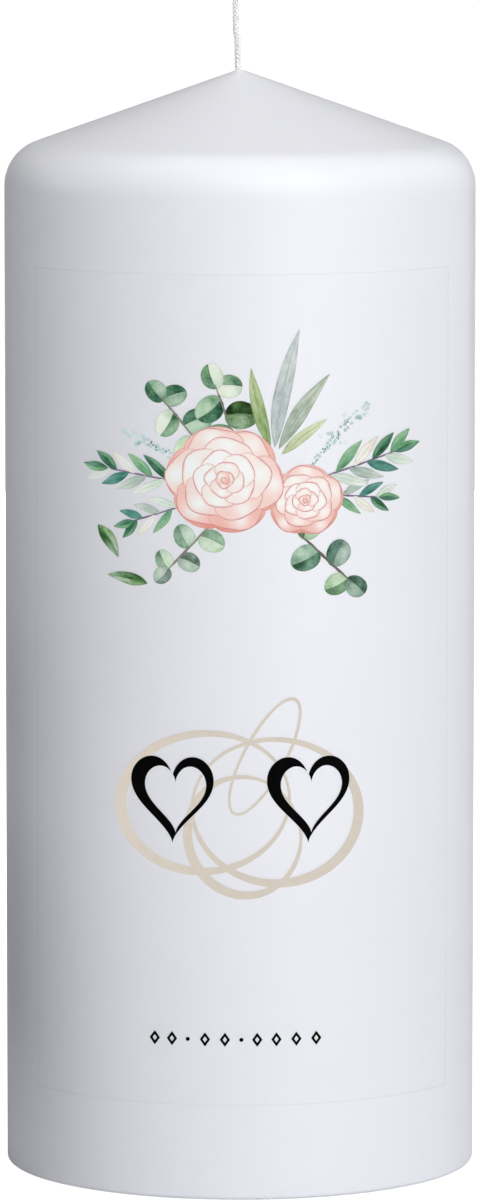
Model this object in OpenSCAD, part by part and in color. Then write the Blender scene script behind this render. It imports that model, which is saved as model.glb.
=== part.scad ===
// Unity candle: a pressed wax pillar with a hard smooth over-dip, a shallow
// conical top, a braided wick in a crimped metal sustainer, and a clear film
// transfer round the front that carries a printed floral spray, two hearts
// over a ring flourish, and a row of small ornaments.
// Millimetres. Base on z = 0, axis on Z, printed front facing -Y.

/* [Body] */
// Outer diameter of the finished pillar
body_d = 70; // [66:1:72]
// Height of the cone's sharp tip above the base
apex_h = 163.5; // [162:0.5:190]
// Angle of the conical top below horizontal, in degrees
cone_angle = 19.5; // [12:0.5:24]
// Radius of the rounded shoulder between the side and the cone
shoulder_r = 6.9; // [3:0.1:9]
// Radius of the rounded tip of the cone
tip_r = 1.6; // [1.2:0.1:3]
// Size of the small bevel round the base
base_bevel = 0.7; // [0.2:0.1:1.2]
// Thickness of the hard over-dip coat on the pressed core
coat_t = 1.0; // [0.6:0.1:1]

/* [Wick] */
// Diameter of the braided wick
wick_d = 1.0; // [0.8:0.1:1.6]
// Free length of wick above the tip of the cone
wick_free = 13; // [6:0.5:15]
// Sideways lean of the wick's end, towards -X
wick_lean = 0.6; // [0.1:0.1:2]
// Diameter of the sustainer's disc
sustainer_d = 20; // [16:1:26]
// Thickness of the sustainer's sheet metal
sustainer_t = 0.5; // [0.3:0.1:0.8]
// Height of the sustainer's crimped neck
neck_h = 5; // [3:0.5:8]
// Outer diameter of the sustainer's neck
neck_d = 2.8; // [2.4:0.1:4]
// Depth of the recess in the base that the sustainer sits in
recess_h = 1.2; // [1:0.1:2]

/* [Film transfer] */
// Angle that the clear film covers round the pillar, in degrees
film_angle = 119; // [115:1:150]
// Angle that the middle of the film is turned from the front, towards +X
film_turn = 1; // [0:0.5:3]
// Height of the film's lower edge
film_z0 = 14; // [10:0.5:16]
// Height of the film's upper edge
film_z1 = 135.5; // [134:0.5:138]
// Thickness of the clear film
film_t = 0.08; // [0.06:0.01:0.12]
// Thickness of the printed ink on the film
ink_t = 0.06; // [0.05:0.01:0.1]
// Gap left between neighbouring printed colours, on each side
trap = 0.02; // [0.01:0.01:0.05]

/* [Hidden] */
$fn = 96;

body_r = body_d / 2;
art = body_d / 70;               // the artwork grows with the pillar
shoulder_x = body_r - shoulder_r;
shoulder_z = apex_h - shoulder_r / cos(cone_angle) - shoulder_x * tan(cone_angle);
tip_z = apex_h - tip_r / cos(cone_angle);
tip_top = tip_z + tip_r;         // top of the rounded tip

// ---------- the pillar ----------

// Half of the pillar's outline, moved inwards by inset
module half_outline(inset, bevel) {
  r = body_r - inset;
  fr = shoulder_r - inset;
  tr = tip_r - inset;
  s = sin(cone_angle);
  c = cos(cone_angle);
  polygon([[0, 0], [r - bevel, 0], [r, bevel], [r, shoulder_z],
    [shoulder_x + fr * s, shoulder_z + fr * c], [tr * s, tip_z + tr * c],
    [0, tip_z + tr * c]]);
  translate([shoulder_x, shoulder_z]) circle(fr);
  intersection() {
    translate([0, tip_z]) circle(tr);
    translate([0, tip_z]) square([tr, tr]);
  }
}

module wick_hole() cylinder(d = wick_d, h = apex_h + 10);

module wax_core() color([0.93, 0.93, 0.91]) difference() {
  rotate_extrude() half_outline(coat_t, 0.01);
  wick_hole();
  translate([0, 0, -1]) cylinder(d = sustainer_d + 1, h = recess_h + 1);
  translate([0, 0, -1]) cylinder(d = neck_d, h = recess_h + neck_h + 1);
}

module dip_coat() color([0.92, 0.93, 0.95]) difference() {
  rotate_extrude() half_outline(0, base_bevel);
  rotate_extrude() half_outline(coat_t, 0.01);
  wick_hole();
}

// The wick runs up the axis, then leans once it is clear of the wax
module wick() color([0.91, 0.92, 0.89]) {
  z0 = recess_h - sustainer_t;
  bend_z = tip_top + 0.35 * wick_free;
  end_z = tip_top + wick_free;
  a = atan(wick_lean / (end_z - bend_z));
  translate([0, 0, z0]) cylinder(d = wick_d, h = bend_z - z0);
  translate([0, 0, bend_z - 0.6])
    rotate([0, -a, 0]) cylinder(d = wick_d - 0.02, h = (end_z - bend_z + 0.6) / cos(a));
}

module wick_sustainer() color([0.72, 0.73, 0.74]) difference() {
  union() {
    translate([0, 0, recess_h - sustainer_t]) cylinder(d = sustainer_d, h = sustainer_t);
    translate([0, 0, recess_h - sustainer_t]) cylinder(d = neck_d, h = sustainer_t + neck_h);
  }
  wick_hole();
}

// ---------- the film and what is printed on it ----------

module arc_shell(r0, r1, z0, z1, half_angle)
  rotate([0, 0, -90 + film_turn - half_angle])
    rotate_extrude(angle = 2 * half_angle)
      translate([r0, z0]) square([r1 - r0, z1 - z0]);

module decal_film() color([0.88, 0.89, 0.91])
  arc_shell(body_r, body_r + film_t, film_z0, film_z1, film_angle / 2);

// Prints a flat drawing, x across and y up, on the front of the film
module printed() intersection() {
  arc_shell(body_r + film_t, body_r + film_t + ink_t, film_z0 + 0.5, film_z1 - 0.5,
    film_angle / 2 - 1);
  rotate([90, 0, 0]) linear_extrude(body_r + 2)
    offset(delta = -trap) scale(art) children();
}

// How wide a leaf is along its length, 0 at both ends and 1 at its widest
function belly(t) = pow(sin(180 * pow(t, 0.85)), 0.85);

// Outline of a leaf from its base a to its tip b, w wide, bowed sideways by bow
function leaf_points(a, b, w, bow = 0, n = 8) =
  let(d = b - a, l = norm(d), u = d / l, v = [-u[1], u[0]])
  concat(
    [for (i = [0:n]) let(t = i / n) a + u * l * t + v * (bow * 4 * t * (1 - t) + w / 2 * belly(t))],
    [for (i = [n - 1:-1:1]) let(t = i / n) a + u * l * t + v * (bow * 4 * t * (1 - t) - w / 2 * belly(t))]);

function oval_points(c, rx, ry, turn = 0, n = 28) =
  [for (i = [0:n - 1]) let(t = 360 * i / n, x = rx * cos(t), y = ry * sin(t))
    c + [x * cos(turn) - y * sin(turn), x * sin(turn) + y * cos(turn)]];

module leaf(a, b, w, bow = 0) polygon(leaf_points(a, b, w, bow));
module oval(c, rx, ry, turn = 0, n = 28) polygon(oval_points(c, rx, ry, turn, n));

// A stem of constant width through the given points
module stem(p, w) for (i = [0:len(p) - 2]) {
  d = p[i + 1] - p[i];
  v = [-d[1], d[0]] / norm(d) * w / 2;
  polygon([p[i] - v, p[i + 1] - v, p[i + 1] + v, p[i] + v]);
  if (i > 0) oval(p[i], w / 2, w / 2, 0, 12);
}

// Small round buds set alternately along a line from a to b
module buds(a, b, count, spread, r) {
  d = b - a;
  v = [-d[1], d[0]] / norm(d);
  for (i = [0:count - 1]) {
    t = (i + 0.5) / count;
    side = i % 2 == 0 ? 1 : -1;
    oval(a + d * t + v * side * spread * (0.45 + 0.55 * t), r, r * 0.8, 40 * side, 10);
  }
}

// Outline of an open rose: one round lobe for each outer petal
function rose_edge(c, r, lobes, turn) =
  [for (i = [0:71]) let(t = 5 * i, k = abs(sin(lobes * (t - turn) / 2)))
    c + r * (0.9 + 0.1 * pow(k, 0.6)) * [cos(t), 0.92 * sin(t)]];
large_rose_c = [-2.2, 105.8];
large_rose_r = 8.6;
small_rose_c = [9.4, 102.6];
small_rose_r = 5.6;

module large_rose() union() {
  polygon(rose_edge(large_rose_c, large_rose_r, 6, 20));
  translate(large_rose_c) circle(r = 4);
}
module small_rose() offset(r = 0.3) offset(delta = -0.3) difference() {
  polygon(rose_edge(small_rose_c, small_rose_r, 5, 50));
  polygon(rose_edge(large_rose_c, large_rose_r, 6, 20));
}
module roses() {
  polygon(rose_edge(large_rose_c, large_rose_r, 6, 20));
  polygon(rose_edge(small_rose_c, small_rose_r, 5, 50));
}

// Everything printed on the lower layers is cut back where the roses lie
module behind_roses() difference() { union() children(); roses(); }

// A branch from a to b with n staggered pairs of slim leaves and one leaf at its tip
module branch(a, b, n, l, w) {
  d = b - a;
  u = d / norm(d);
  v = [-u[1], u[0]];
  stem([a, b], 0.4);
  for (i = [0:n - 1], s = [-1, 1]) {
    p = a + d * (i + 0.55 + 0.16 * s) / n;
    leaf(p, p + l * (1 - 0.35 * i / n) * (u * 0.83 + v * s * 0.55), w);
  }
  leaf(b - u * 0.3, b + u * l * 0.62, w);
}

// A sprig from a to b with n round leaves on alternate sides and one at its tip
module sprig(a, b, n, r, w) {
  d = b - a;
  u = d / norm(d);
  v = [-u[1], u[0]];
  stem([a, b], w);
  for (i = [0:n - 1]) {
    s = i % 2 == 0 ? 1 : -1;
    k = r * (1 - 0.3 * i / n);
    oval(a + d * (i + 0.6) / n + v * s * k * 0.95, k * 1.1, k * 0.92, atan2(v[1], v[0]) + 20 * s);
  }
  oval(b + u * r * 0.5, r * 0.8, r * 0.68, atan2(u[1], u[0]));
}

module top_eucalyptus_shapes() {
  sprig([-5, 110], [-11.4, 117.6], 4, 2.2, 0.34);
  sprig([-0.6, 111], [-3.6, 119.6], 4, 2.4, 0.34);
}
module left_branch_shapes() {
  branch([-9, 105.4], [-19.4, 107], 4, 5.4, 1.4);
  branch([-8, 102], [-15.6, 99.4], 3, 4.6, 1.2);
}
module right_branch_shapes() {
  branch([12, 106], [22.6, 109.2], 4, 6, 1.5);
  branch([13, 103.4], [20.4, 102.6], 3, 4.6, 1.2);
}
module tall_leaf_shapes() {
  leaf([4.4, 110.6], [1.6, 122], 2, 0.4);
  leaf([5, 110.4], [8.6, 127.6], 2.5, 0.5);
  leaf([5.6, 110.2], [13, 121], 2.2, 0.4);
  leaf([6, 109.4], [12.6, 114.4], 1.6, 0.2);
}

module print_rose_large() color([0.93, 0.78, 0.74]) printed() large_rose();
module print_rose_small() color([0.95, 0.85, 0.82]) printed() small_rose();
module print_eucalyptus_top() color([0.35, 0.53, 0.42]) printed()
  difference() { behind_roses() top_eucalyptus_shapes(); tall_leaf_shapes(); }
module print_tall_leaves() color([0.68, 0.74, 0.66]) printed()
  behind_roses() tall_leaf_shapes();
module print_olive_branch_left() color([0.55, 0.68, 0.58]) printed()
  behind_roses() left_branch_shapes();
module print_olive_branch_right() color([0.62, 0.74, 0.64]) printed()
  difference() { behind_roses() right_branch_shapes(); tall_leaf_shapes(); }
module print_eucalyptus_lower_left() color([0.68, 0.78, 0.70]) printed()
  difference() {
    behind_roses() sprig([-4.4, 99], [-10.6, 92.4], 4, 1.8, 0.34);
    left_branch_shapes();
  }
module print_eucalyptus_lower_right() color([0.52, 0.67, 0.58]) printed()
  behind_roses() sprig([7.4, 99], [16, 90.6], 4, 2.2, 0.4);
module print_flower_spike_left() color([0.62, 0.78, 0.74]) printed()
  difference() {
    behind_roses() {
      stem([[-9, 108.6], [-16.4, 112.4]], 0.24);
      buds([-9, 108.6], [-16.8, 112.6], 16, 0.75, 0.38);
    }
    left_branch_shapes();
    top_eucalyptus_shapes();
  }
module print_flower_spike_right() color([0.66, 0.80, 0.78]) printed()
  difference() {
    behind_roses() {
      stem([[10, 107.4], [18.2, 116]], 0.24);
      buds([10, 107.4], [18.6, 116.4], 22, 0.8, 0.38);
    }
    right_branch_shapes();
    tall_leaf_shapes();
  }
module print_loose_leaves() color([0.45, 0.60, 0.38]) printed()
  difference() {
    union() {
      leaf([-20.6, 98.6], [-17.6, 94], 1.9, 0.25);
      leaf([-13.4, 90.4], [-19.2, 91.4], 1.8, -0.2);
    }
    left_branch_shapes();
  }

// ---------- the ring flourish, the hearts and the ornament row ----------

// A ring whose stroke swells on one side, as a broad pen draws it
module pen_ring(c, rx, ry, turn, thick, thin, heavy) difference() {
  m = (thick + thin) / 2;
  oval(c, rx, ry, turn, 56);
  oval(c + (thick - thin) / 2 * [cos(heavy + 180), sin(heavy + 180)], rx - m, ry - m, turn, 56);
}

function heart_points(c, w, h, n = 44) =
  [for (i = [0:n - 1]) let(t = 360 * i / n)
    c + [w / 2 * pow(sin(t), 3),
      h / 2 * (13 * cos(t) - 5 * cos(2 * t) - 2 * cos(3 * t) - cos(4 * t) + 2.6) / 14.6]];

heart_l = [-9.8, 58.9];
heart_r = [9.9, 58.9];
module heart(c, w, h) difference() {
  polygon(heart_points(c, w, h));
  polygon(heart_points(c + [0.45, 0.05], w - 3.1, h - 2.9));
}
module hearts() {
  heart(heart_l, 12, 12.8);
  heart(heart_r, 12, 12.8);
}

module flourish_shapes() {
  pen_ring([-5.4, 58.6], 12.8, 10.6, 8, 2, 0.4, 190);
  pen_ring([5.4, 57.2], 12.6, 11, -8, 1.8, 0.4, 330);
  pen_ring([0.4, 53.6], 8.6, 9.2, 20, 1.7, 0.36, 215);
  pen_ring([3.6, 65.4], 9.6, 3.2, 62, 0.5, 0.36, 60);
}

module print_flourish() color([0.85, 0.80, 0.76]) printed()
  difference() { flourish_shapes(); hearts(); }
module print_heart_left() color([0.03, 0.03, 0.03]) printed() heart(heart_l, 12, 12.8);
module print_heart_right() color([0.03, 0.03, 0.03]) printed() heart(heart_r, 12, 12.8);

// Eight outlined lozenges with a dot after every second one of the first four
module lozenge(c, w, h, line) difference() {
  polygon([c + [w / 2, 0], c + [0, h / 2], c - [w / 2, 0], c - [0, h / 2]]);
  polygon([c + [w / 2 - line, 0], c + [0, h / 2 - line * h / w], c - [w / 2 - line, 0], c - [0, h / 2 - line * h / w]]);
}
ornament_z = 23.8;
lozenge_x = [-12.4, -9.9, -5.1, -2.2, 2.5, 5.3, 8.2, 11.1];
dot_x = [-7.6, 0.2];
module print_ornament_row() color([0.03, 0.03, 0.03]) printed() {
  for (x = lozenge_x) lozenge([x, ornament_z], 1.5, 2.1, 0.42);
  for (x = dot_x) oval([x, ornament_z], 0.3, 0.3, 0, 16);
}

wax_core();
dip_coat();
wick();
wick_sustainer();
decal_film();
print_rose_large();
print_rose_small();
print_eucalyptus_top();
print_tall_leaves();
print_olive_branch_left();
print_olive_branch_right();
print_eucalyptus_lower_left();
print_eucalyptus_lower_right();
print_flower_spike_left();
print_flower_spike_right();
print_loose_leaves();
print_flourish();
print_heart_left();
print_heart_right();
print_ornament_row();
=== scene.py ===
"""Unity candle: looks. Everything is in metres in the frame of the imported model: base on z = 0, front facing -Y."""
import math
import random

import bmesh
import bpy
import numpy as np
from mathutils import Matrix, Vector
from mathutils.geometry import delaunay_2d_cdt


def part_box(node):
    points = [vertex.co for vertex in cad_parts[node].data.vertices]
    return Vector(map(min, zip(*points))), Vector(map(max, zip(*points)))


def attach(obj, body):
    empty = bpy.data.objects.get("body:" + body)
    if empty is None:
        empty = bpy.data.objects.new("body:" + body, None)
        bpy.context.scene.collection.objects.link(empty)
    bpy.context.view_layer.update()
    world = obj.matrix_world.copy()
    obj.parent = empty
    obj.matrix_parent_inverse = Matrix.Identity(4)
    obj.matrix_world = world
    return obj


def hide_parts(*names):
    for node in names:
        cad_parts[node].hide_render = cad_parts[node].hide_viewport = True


# ------------------------------------------------------------------ light levels and finishes
FLOOR_GLOW = 1.0
WORLD = 0.06
WAX = (0.86, 0.864, 0.906)
LAMPS = (
    ("right_front", 30, 14, 1.0, 0.5, 0.9, 3.75),
    ("front_top", 20, 40, 1.0, 0.7, 0.5, 4.4),
    ("overhead", 0, 88, 0.9, 0.6, 0.6, 2.3),
    ("top_left", -60, 60, 0.9, 0.5, 0.5, 0.62),
    ("right_back", 130, 10, 0.9, 0.5, 0.9, 1.77),
    ("left_low", -95, 20, 0.9, 0.5, 0.35, 1.0),
    ("back", 180, 0, 1.0, 0.4, 0.15, 2.0),
)
# lamp light across the front of the pillar, left to right; the print's colours are divided by it, as painted light
LIGHT_ROW = (0.55, 0.68, 0.81, 0.90, 0.955, 0.985, 0.99, 0.905)
# the film's opacity, and its higher opacity near the edge, which draws the edge's painted shadow line
FILM_ALPHA, FILM_EDGE = 0.004, 0.032
INK_OF = {"print_flourish": "beige"}

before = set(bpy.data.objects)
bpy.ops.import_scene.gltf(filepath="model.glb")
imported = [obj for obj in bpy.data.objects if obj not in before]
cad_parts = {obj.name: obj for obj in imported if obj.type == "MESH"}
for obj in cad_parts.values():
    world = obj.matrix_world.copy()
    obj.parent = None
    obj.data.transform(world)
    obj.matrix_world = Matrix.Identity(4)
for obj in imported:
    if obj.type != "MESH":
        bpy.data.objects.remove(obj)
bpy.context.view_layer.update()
scene = bpy.context.scene
MM = 0.001

# ------------------------------------------------------------------ sizes, from the frame
coat_lo, coat_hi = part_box("dip_coat")
core_lo, core_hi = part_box("wax_core")
wick_lo, wick_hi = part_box("wick")
film_lo, film_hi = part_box("decal_film")
BODY_R = (coat_hi[0] - coat_lo[0]) / 2 / MM          # 35
CORE_R = (core_hi[0] - core_lo[0]) / 2 / MM          # 34
TIP_TOP = coat_hi[2] / MM                            # 163.3 at the rim of the wick hole
FILM_R = BODY_R + 0.08
CONE = math.radians(19.5)
SHOULDER_R, TIP_R, BEVEL, APEX = 6.9, 1.6, 0.7, 163.5


def mesh_object(name, verts, faces, smooth=True, parent=None):
    me = bpy.data.meshes.new(name)
    me.from_pydata([tuple(v) for v in verts], [], [tuple(f) for f in faces])
    me.validate()
    me.update()
    if smooth:
        me.polygons.foreach_set("use_smooth", [True] * len(me.polygons))
    ob = bpy.data.objects.new(name, me)
    scene.collection.objects.link(ob)
    return ob


# ------------------------------------------------------------------ node helpers
def new_material(name):
    m = bpy.data.materials.new(name)
    m.use_nodes = True
    nt = m.node_tree
    for n in list(nt.nodes):
        nt.nodes.remove(n)
    out = nt.nodes.new("ShaderNodeOutputMaterial")
    return m, nt, out


def node(nt, kind, **kw):
    n = nt.nodes.new(kind)
    for k, v in kw.items():
        if k in ("operation", "blend_type", "data_type", "noise_dimensions", "interpolation_type", "attribute_name",
                 "feature", "distance", "wave_type", "bands_direction", "clamp", "uv_map", "use_clamp", "normalize",
                 "attribute_type", "wave_profile", "voronoi_dimensions"):
            setattr(n, k, v)
        else:
            n.inputs[k.replace("_", " ")].default_value = v
    return n


def srgb(r, g, b):
    f = lambda c: c / 12.92 if c <= 0.04045 else ((c + 0.055) / 1.055) ** 2.4
    return (f(r / 255), f(g / 255), f(b / 255))


def hexcol(h):
    h = h.lstrip("#")
    return srgb(int(h[0:2], 16), int(h[2:4], 16), int(h[4:6], 16))


# ------------------------------------------------------------------ camera
cam_data = bpy.data.cameras.new("camera")
cam = bpy.data.objects.new("camera", cam_data)
scene.collection.objects.link(cam)
cam.location = (0, -1.120, 0.21388)
cam.rotation_euler = (math.radians(90 - 6.606), 0, 0)
cam_data.sensor_fit = "AUTO"
cam_data.sensor_width = 36
cam_data.lens = 7547.9 / 1201 * 36
cam_data.clip_start, cam_data.clip_end = 0.05, 60
cam_data.dof.use_dof = False
scene.camera = cam

scene.view_settings.view_transform = "Standard"
scene.view_settings.look = "None"
scene.view_settings.exposure = 0
scene.view_settings.gamma = 1

# ------------------------------------------------------------------ studio
floor = mesh_object("floor", [(-30, -30, -0.0002), (30, -30, -0.0002), (30, 30, -0.0002), (-30, 30, -0.0002)], [(0, 1, 2, 3)], smooth=False)
m, nt, out = new_material("pale_floor")
diffuse = node(nt, "ShaderNodeBsdfDiffuse", Color=(0.835, 0.852, 0.875, 1))
glow = node(nt, "ShaderNodeEmission", Color=(1, 1, 1, 1), Strength=FLOOR_GLOW)
both = node(nt, "ShaderNodeAddShader")
path = node(nt, "ShaderNodeLightPath")
mix = node(nt, "ShaderNodeMixShader")
nt.links.new(diffuse.outputs[0], both.inputs[0])
nt.links.new(glow.outputs[0], both.inputs[1])
nt.links.new(path.outputs["Is Camera Ray"], mix.inputs[0])
nt.links.new(diffuse.outputs[0], mix.inputs[1])
nt.links.new(both.outputs[0], mix.inputs[2])
nt.links.new(mix.outputs[0], out.inputs[0])
floor.data.materials.append(m)

world = bpy.data.worlds.new("studio")
scene.world = world
world.use_nodes = True
wt = world.node_tree
for n in list(wt.nodes):
    wt.nodes.remove(n)
wout = wt.nodes.new("ShaderNodeOutputWorld")
seen = node(wt, "ShaderNodeBackground", Color=(1, 1, 1, 1), Strength=1.0)
lit = node(wt, "ShaderNodeBackground", Color=(0.97, 0.985, 1, 1), Strength=WORLD)
wmix = node(wt, "ShaderNodeMixShader")
wpath = node(wt, "ShaderNodeLightPath")
wt.links.new(wpath.outputs["Is Camera Ray"], wmix.inputs[0])
wt.links.new(lit.outputs[0], wmix.inputs[1])
wt.links.new(seen.outputs[0], wmix.inputs[2])
wt.links.new(wmix.outputs[0], wout.inputs[0])


def softbox(name, azimuth, elevation, distance, width, height, power, colour=(1, 1, 1)):
    """A rectangular lamp aimed at the candle's middle; azimuth 0 is the front (-Y), positive towards +X."""
    data = bpy.data.lights.new(name, "AREA")
    data.shape = "RECTANGLE"
    data.size, data.size_y = width, height
    data.energy = power
    data.color = colour
    ob = bpy.data.objects.new(name, data)
    a, e = math.radians(azimuth), math.radians(elevation)
    aim = Vector((0, 0, 0.085))
    ob.location = aim + distance * Vector((math.sin(a) * math.cos(e), -math.cos(a) * math.cos(e), math.sin(e)))
    ob.rotation_euler = (aim - ob.location).to_track_quat("-Z", "Y").to_euler()
    scene.collection.objects.link(ob)
    return ob


def dark_card():
    """A grey card low on the left, just out of shot, that darkens that edge of the pillar. The camera doesn't see it."""
    a, d, hw = math.radians(-101), 0.092, 0.055
    c = Vector((math.sin(a) * d, -math.cos(a) * d, 0))
    t = Vector((math.cos(a), math.sin(a), 0))
    z0, z1 = 0.004, 0.070
    ob = mesh_object("grey_card", [c - t * hw + Vector((0, 0, z0)), c + t * hw + Vector((0, 0, z0)), c + t * hw + Vector((0, 0, z1)), c - t * hw + Vector((0, 0, z1))], [(0, 1, 2, 3)], smooth=False)
    cm, ct, co = new_material("grey_card")
    ct.links.new(node(ct, "ShaderNodeBsdfDiffuse", Color=(0.03, 0.03, 0.035, 1)).outputs[0], co.inputs[0])
    ob.data.materials.append(cm)
    ob.visible_camera = False
    return ob


dark_card()
for row in LAMPS:
    softbox(*row)

# ------------------------------------------------------------------ materials of the pillar
def wax_material(name, colour, rough, grain):
    m, nt, out = new_material(name)
    bsdf = node(nt, "ShaderNodeBsdfPrincipled", Roughness=rough)
    bsdf.inputs["IOR"].default_value = 1.44
    bsdf.inputs["Specular IOR Level"].default_value = 0.42
    bsdf.inputs["Coat Weight"].default_value = 0.0
    tex = node(nt, "ShaderNodeTexCoord")
    big = node(nt, "ShaderNodeTexNoise", Scale=38.0, Detail=3.0, Roughness=0.5)
    fine = node(nt, "ShaderNodeTexNoise", Scale=420.0, Detail=2.0, Roughness=0.55)
    nt.links.new(tex.outputs["Object"], big.inputs["Vector"])
    nt.links.new(tex.outputs["Object"], fine.inputs["Vector"])
    ramp = node(nt, "ShaderNodeMapRange")
    ramp.inputs["From Min"].default_value, ramp.inputs["From Max"].default_value = 0.3, 0.7
    nt.links.new(big.outputs["Fac"], ramp.inputs["Value"])
    tint = node(nt, "ShaderNodeMix", data_type="RGBA")
    tint.inputs["A"].default_value = (*[c * (1 - grain) for c in colour], 1)
    tint.inputs["B"].default_value = (*colour, 1)
    nt.links.new(ramp.outputs[0], tint.inputs["Factor"])
    nt.links.new(tint.outputs["Result"], bsdf.inputs["Base Color"])
    rr = node(nt, "ShaderNodeMapRange")
    rr.inputs["From Min"].default_value, rr.inputs["From Max"].default_value = 0.25, 0.75
    rr.inputs["To Min"].default_value, rr.inputs["To Max"].default_value = rough - 0.05, rough + 0.06
    nt.links.new(fine.outputs["Fac"], rr.inputs["Value"])
    nt.links.new(rr.outputs[0], bsdf.inputs["Roughness"])
    bump = node(nt, "ShaderNodeBump", Strength=0.12, Distance=0.00012)
    both = node(nt, "ShaderNodeMath", operation="MULTIPLY_ADD")
    both.inputs[1].default_value = 0.25
    nt.links.new(fine.outputs["Fac"], both.inputs[0])
    nt.links.new(big.outputs["Fac"], both.inputs[2])
    nt.links.new(both.outputs[0], bump.inputs["Height"])
    nt.links.new(bump.outputs[0], bsdf.inputs["Normal"])
    nt.links.new(bsdf.outputs[0], out.inputs[0])
    return m


coat_mat = wax_material("wax_coat", WAX, 0.42, 0.012)
core_mat = wax_material("wax_core", (0.78, 0.78, 0.74), 0.6, 0.12)


def half_outline(inset, wick_r):
    """The pillar's outline from the wick hole's rim down to the base, as (r, z) in mm."""
    s, c = math.sin(CONE), math.cos(CONE)
    sx = BODY_R - SHOULDER_R
    sz = APEX - SHOULDER_R / c - sx * math.tan(CONE)
    tz = APEX - TIP_R / c
    fr, tr = SHOULDER_R - inset, TIP_R - inset
    pts = []
    a0 = math.asin(wick_r / tr)
    for i in range(7):
        a = a0 + (CONE - a0) * i / 6
        pts.append((tr * math.sin(a), tz + tr * math.cos(a)))
    r0, r1 = tr * s, sx + fr * s
    z0, z1 = tz + tr * c, sz + fr * c
    for i in range(1, 24):
        t = i / 24
        pts.append((r0 + (r1 - r0) * t, z0 + (z1 - z0) * t))
    for i in range(25):
        a = CONE + (math.pi / 2 - CONE) * i / 24
        pts.append((sx + fr * math.sin(a), sz + fr * math.cos(a)))
    bottom = BEVEL if inset == 0 else 0.0
    n = 90
    for i in range(1, n + 1):
        pts.append((BODY_R - inset, sz + (bottom - sz) * i / n))
    if inset == 0:
        for i in range(1, 9):
            a = math.pi / 2 * i / 8
            pts.append((BODY_R - BEVEL + BEVEL * math.cos(a), BEVEL - BEVEL * math.sin(a)))
    return pts


def lathe(name, loop, n=256, shape=None):
    """Turns a closed loop of (r, z) points about Z. shape(r, z, angle) gives the point's own (r, z)."""
    verts, faces = [], []
    m = len(loop)
    for j in range(n):
        a = 2 * math.pi * j / n
        for r, z in loop:
            if shape:
                r, z = shape(r, z, a)
            verts.append((r * math.cos(a) * MM, r * math.sin(a) * MM, z * MM))
    for j in range(n):
        k = (j + 1) % n
        for i in range(m):
            h = (i + 1) % m
            faces.append((j * m + i, j * m + h, k * m + h, k * m + i))
    return mesh_object(name, verts, faces)


WICK_R = 0.5
outer = half_outline(0, WICK_R)
inner = half_outline(1.0, WICK_R)
coat = lathe("over_dip_coat", outer + inner[::-1])
coat.data.materials.append(coat_mat)
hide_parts("dip_coat")
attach(coat, "root")

for ob in (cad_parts["wax_core"],):
    for s in ob.material_slots:
        s.material = core_mat

# ------------------------------------------------------------------ printed artwork
# Each printed motif is drawn as flat outlines in (x, z) millimetres as seen square on from the front, painted one over
# another. The outlines are then cut into one triangle mesh, each triangle goes to the topmost outline that covers it,
# and every motif's triangles become a closed skin of ink on the film.
INK_LOW, INK_TOP = FILM_R + 0.002, FILM_R + 0.024
SHAPES = []
rng = random.Random(11)


def spline(pts, step=0.16, closed=True):
    """A smooth curve through the points. A third value of 1 marks a sharp corner."""
    n = len(pts)
    P = [np.array(p[:2], float) for p in pts]
    sharp = [len(p) > 2 and bool(p[2]) for p in pts]
    out = []
    for i in range(n if closed else n - 1):
        a, b = P[i], P[(i + 1) % n]
        prev = P[(i - 1) % n] if (closed or i > 0) else a
        nxt = P[(i + 2) % n] if (closed or i + 2 < n) else b
        ta = (b - a) * 0.9 if sharp[i] else (b - prev) * 0.5
        tb = (b - a) * 0.9 if sharp[(i + 1) % n] else (nxt - a) * 0.5
        d = np.linalg.norm(b - a)
        for t, k in ((ta, 0), (tb, 1)):
            m = np.linalg.norm(t)
            if m > 1.3 * d:
                if k == 0:
                    ta = t * 1.3 * d / m
                else:
                    tb = t * 1.3 * d / m
        k = max(1, int(math.ceil(d / step)))
        for j in range(k):
            t = j / k
            h = (2 * t**3 - 3 * t**2 + 1) * a + (t**3 - 2 * t**2 + t) * ta + (3 * t**2 - 2 * t**3) * b + (t**3 - t**2) * tb
            out.append(h)
    if not closed:
        out.append(P[-1])
    return np.array(out)


def painted_light_divisor(x):
    """The lamps' light across the film, weaker towards its left edge. The print's colours are divided by it: painted
    light that brightens the print where the pillar is in shade.
    """
    return np.interp(x, [-26, -20, -13, -6, 0, 8, 20, 30], LIGHT_ROW)


def hexlin(h):
    return np.array(hexcol(h))


# the last argument sets how much painted light brightens the shape against the pillar's shade: 1 for the coloured inks,
# 0 for the black
def fill(node_name, pts, base, washes=(), rim=None, mot=0.5, seed=None, flow=None, is_curve=False, comp=1.0, hole=None):
    """washes: ("dab", (x, z), radius, colour, strength), ("lin", from, to, colour, strength). rim: (width, colour, strength)."""
    curve = np.asarray(pts, float) if is_curve else spline(pts)
    SHAPES.append(dict(node=node_name, curve=curve, base=hexlin(base), washes=washes, rim=rim, mot=mot,
                       seed=rng.random() * 50 if seed is None else seed, flow=flow, comp=comp, hole=hole))


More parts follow.
